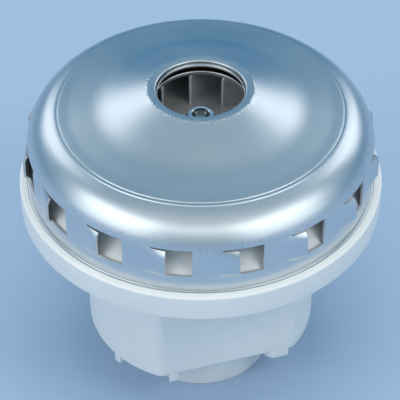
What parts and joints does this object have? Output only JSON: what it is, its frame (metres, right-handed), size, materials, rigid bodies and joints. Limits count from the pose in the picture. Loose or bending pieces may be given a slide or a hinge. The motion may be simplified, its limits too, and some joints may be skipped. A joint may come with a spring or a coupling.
{
  "type": "vacuum motor unit",
  "caption": "Bypass vacuum motor with a drawn metal fan cover, central intake eye and louvred rim, on a white flange ring and a flat-sided white housing that stands on a round collar.",
  "frame": {"origin": "centre of the collar's foot, on the motor axis", "axes": "+Z along the motor axis from the collar to the intake eye, -Y is the front seen in the picture, +X to its right"},
  "size_m": [0.144, 0.144, 0.1365],
  "materials": {
    "cover_sheet": "satin zinc-coated drawn sheet",
    "white_moulding": "fine moulded texture",
    "steel": "ground",
    "fastener_steel": "zinc plated",
    "bearing_steel": "polished",
    "cage_brass": "stamped",
    "lamination": "stacked sheet edges",
    "copper": "enamelled winding and bare copper",
    "bobbin_plastic": "moulded",
    "dark_plastic": "moulded",
    "phenolic": "moulded",
    "brass": "drawn",
    "carbon": "pressed carbon",
    "boot_rubber": "moulded",
    "felt": "pressed felt",
    "lead_red": "insulated wire",
    "lead_blue": "insulated wire",
    "impeller_aluminium": "rolled sheet"
  },
  "bodies": {
    "casing": {"fan_cover": "cover_sheet", "fan_bracket": "white_moulding", "motor_housing": "white_moulding", "bearing_clamp": "steel", "bearing_preload_spring": "steel", "brush_spring_left": "steel", "brush_spring_right": "steel", "bracket_screws": "fastener_steel", "stator_screws": "fastener_steel", "bearing_clamp_screws": "fastener_steel", "brush_holder_screws": "fastener_steel", "upper_bearing_outer_ring": "bearing_steel", "upper_bearing_shields": "bearing_steel", "lower_bearing_outer_ring": "bearing_steel", "lower_bearing_shields": "bearing_steel", "stator_core": "lamination", "field_coil_left": "copper", "field_coil_right": "copper", "coil_bobbin_left": "bobbin_plastic", "coil_bobbin_right": "bobbin_plastic", "brush_holder_left": "dark_plastic", "brush_holder_right": "dark_plastic", "terminal_block": "dark_plastic", "brush_tube_left": "brass", "brush_tube_right": "brass", "terminal_tabs": "brass", "lower_bearing_boot": "boot_rubber", "shaft_seal": "felt", "supply_leads": "lead_red", "brush_leads": "lead_blue"},
    "rotor": {"shaft": "steel", "armature_core": "lamination", "armature_winding": "copper", "commutator_hub": "phenolic", "commutator_bars": "copper", "cooling_fan": "dark_plastic", "upper_bearing_inner_ring": "bearing_steel", "lower_bearing_inner_ring": "bearing_steel", "impeller_spacer": "impeller_aluminium", "impeller_back_plate": "impeller_aluminium", "impeller_blades": "impeller_aluminium", "impeller_front_plate": "impeller_aluminium", "impeller_bush": "impeller_aluminium", "impeller_washer": "fastener_steel", "impeller_nut": "fastener_steel"},
    "upper_cage": {"upper_bearing_balls": "bearing_steel", "upper_bearing_cage": "cage_brass"},
    "lower_cage": {"lower_bearing_balls": "bearing_steel", "lower_bearing_cage": "cage_brass"},
    "brush_left": {"carbon_brush_left": "carbon"},
    "brush_right": {"carbon_brush_right": "carbon"}
  },
  "joints": [
    {"name": "rotor_spin", "type": "hinge", "parent": "casing", "child": "rotor", "pos_m": [0, 0, 0.07], "axis": [0, 0, 1], "continuous": true},
    {"name": "upper_cage_spin", "type": "hinge", "parent": "casing", "child": "upper_cage", "pos_m": [0, 0, 0.0977], "axis": [0, 0, 1], "continuous": true},
    {"name": "lower_cage_spin", "type": "hinge", "parent": "casing", "child": "lower_cage", "pos_m": [0, 0, 0.0093], "axis": [0, 0, 1], "continuous": true},
    {"name": "brush_right_slide", "type": "slide", "parent": "casing", "child": "brush_right", "axis": [0.9558, 0.294, 0], "range_m": [0, 0.006], "stiffness_N_per_m": 120, "springref_m": -0.01, "deforming": ["brush_spring_right"]},
    {"name": "brush_left_slide", "type": "slide", "parent": "casing", "child": "brush_left", "axis": [-0.9558, -0.294, 0], "range_m": [0, 0.006], "stiffness_N_per_m": 120, "springref_m": -0.01, "deforming": ["brush_spring_left"]}
  ],
  "couplings": [
    {"joint": "upper_cage_spin", "follows": "rotor_spin", "ratio": 0.368},
    {"joint": "lower_cage_spin", "follows": "rotor_spin", "ratio": 0.368}
  ]
}
